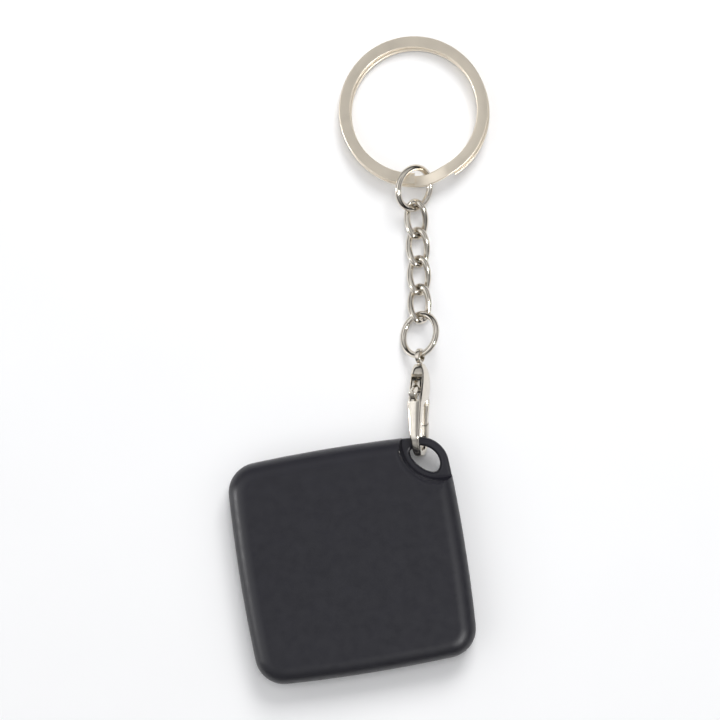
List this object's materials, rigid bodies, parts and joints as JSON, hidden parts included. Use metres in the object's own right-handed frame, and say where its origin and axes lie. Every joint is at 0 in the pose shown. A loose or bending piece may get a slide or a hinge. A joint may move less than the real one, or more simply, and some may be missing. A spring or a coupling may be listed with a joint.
{
  "type": "bluetooth tracker tag",
  "caption": "Flat rounded-square tracker tag with a corner eyelet, carried on a hook clasp, a short curb chain and a flat split ring.",
  "frame": {"origin": "centre of the tag's square, in the plane of its rear face", "axes": "+X towards the tag's right side and +Y towards its top side, so that the eyelet is in the corner between them; +Z out of the front face"},
  "size_m": [0.0531, 0.1028, 0.0088],
  "materials": {
    "cover_plastic": "fine matte moulding, near black with a blue cast",
    "door_plastic": "matte",
    "seal_rubber": "matte",
    "plated_metal": "polished warm nickel plate",
    "ring_steel": "satin nickel",
    "spring_steel": "drawn wire",
    "cell_steel": "satin",
    "board_laminate": "solder mask",
    "chip_epoxy": "matte",
    "crystal_can": "satin",
    "capacitor_ceramic": "fired ceramic",
    "sounder_brass": "satin",
    "contact_spring": "plated strip"
  },
  "bodies": {
    "tag": {"front_cover": "cover_plastic", "rear_cover": "cover_plastic", "coin_cell": "cell_steel", "circuit_board": "board_laminate", "switch_body": "chip_epoxy", "radio_chip": "chip_epoxy", "clock_crystal": "crystal_can", "chip_antenna": "capacitor_ceramic", "motion_sensor": "chip_epoxy", "capacitor_1": "capacitor_ceramic", "capacitor_2": "capacitor_ceramic", "capacitor_3": "capacitor_ceramic", "sounder_case": "chip_epoxy", "sounder_diaphragm": "sounder_brass", "positive_contact": "contact_spring", "negative_contact": "contact_spring"},
    "door": {"battery_door": "door_plastic", "door_seal": "seal_rubber"},
    "plunger": {"switch_plunger": "cover_plastic"},
    "clasp": {"clasp_body": "plated_metal", "lever_pin": "plated_metal", "lever_spring": "spring_steel"},
    "lever": {"clasp_lever": "plated_metal"},
    "swivel": {"swivel_eye": "plated_metal"},
    "lower_ring": {"lower_jump_ring": "plated_metal"},
    "link_4": {"chain_link_4": "plated_metal"},
    "link_3": {"chain_link_3": "plated_metal"},
    "link_2": {"chain_link_2": "plated_metal"},
    "link_1": {"chain_link_1": "plated_metal"},
    "upper_ring": {"upper_jump_ring": "plated_metal"},
    "split_ring": {"key_ring": "ring_steel"}
  },
  "joints": [
    {"name": "door_turn", "type": "hinge", "parent": "tag", "child": "door", "pos_m": [0, 0, 0.0007], "axis": [0, 0, 1], "range_deg": [0, 50]},
    {"name": "button_press", "type": "slide", "parent": "tag", "child": "plunger", "axis": [0, 0, -1], "range_m": [0, 0.00012], "stiffness_N_per_m": 4000, "springref_m": -0.0001},
    {"name": "clasp_swing", "type": "hinge", "parent": "tag", "child": "clasp", "pos_m": [0.01414, 0.0176, 0.0038], "axis": [0.9976, 0.0698, 0], "range_deg": [-5, 45]},
    {"name": "lever_open", "type": "hinge", "parent": "clasp", "child": "lever", "pos_m": [0.01548, 0.02625, 0.00399], "axis": [-0.944, 0.1529, -0.2924], "range_deg": [0, 22], "stiffness_Nm_per_rad": 0.02, "springref_deg": -14.32, "deforming": ["lever_spring"]},
    {"name": "swivel_turn", "type": "hinge", "parent": "clasp", "child": "swivel", "pos_m": [0.01639, 0.03147, 0.0038], "axis": [0.1599, 0.9871, 0], "continuous": true},
    {"name": "lower_ring_swing", "type": "hinge", "parent": "swivel", "child": "lower_ring", "pos_m": [0.01642, 0.03166, 0.0038], "axis": [0.7835, 0.0464, 0.6196], "range_deg": [-50, 50]},
    {"name": "link_4_swing", "type": "hinge", "parent": "lower_ring", "child": "link_4", "pos_m": [0.01695, 0.03496, 0.00287], "axis": [-0.6019, 0.304, 0.7384], "range_deg": [-60, 60]},
    {"name": "link_3_swing", "type": "hinge", "parent": "link_4", "child": "link_3", "pos_m": [0.01821, 0.04287, 0.00124], "axis": [0.7119, -0.0243, 0.7018], "range_deg": [-35, 30]},
    {"name": "link_2_swing", "type": "hinge", "parent": "link_3", "child": "link_2", "pos_m": [0.01871, 0.04638, 0.00124], "axis": [0.7031, -0.0751, -0.7071], "range_deg": [-35, 35]},
    {"name": "link_1_swing", "type": "hinge", "parent": "link_2", "child": "link_1", "pos_m": [0.01933, 0.0522, 0.00124], "axis": [0.7031, -0.0751, 0.7071], "range_deg": [-20, 35]},
    {"name": "upper_ring_swing", "type": "hinge", "parent": "link_1", "child": "upper_ring", "pos_m": [0.01952, 0.0557, 0.00188], "axis": [0.7933, 0.0921, -0.6018], "range_deg": [-60, 15]},
    {"name": "split_ring_swing", "type": "hinge", "parent": "upper_ring", "child": "split_ring", "pos_m": [0.0199, 0.059, 0.0029], "axis": [0.5985, -0.2991, 0.7432], "range_deg": [-60, 60]}
  ]
}
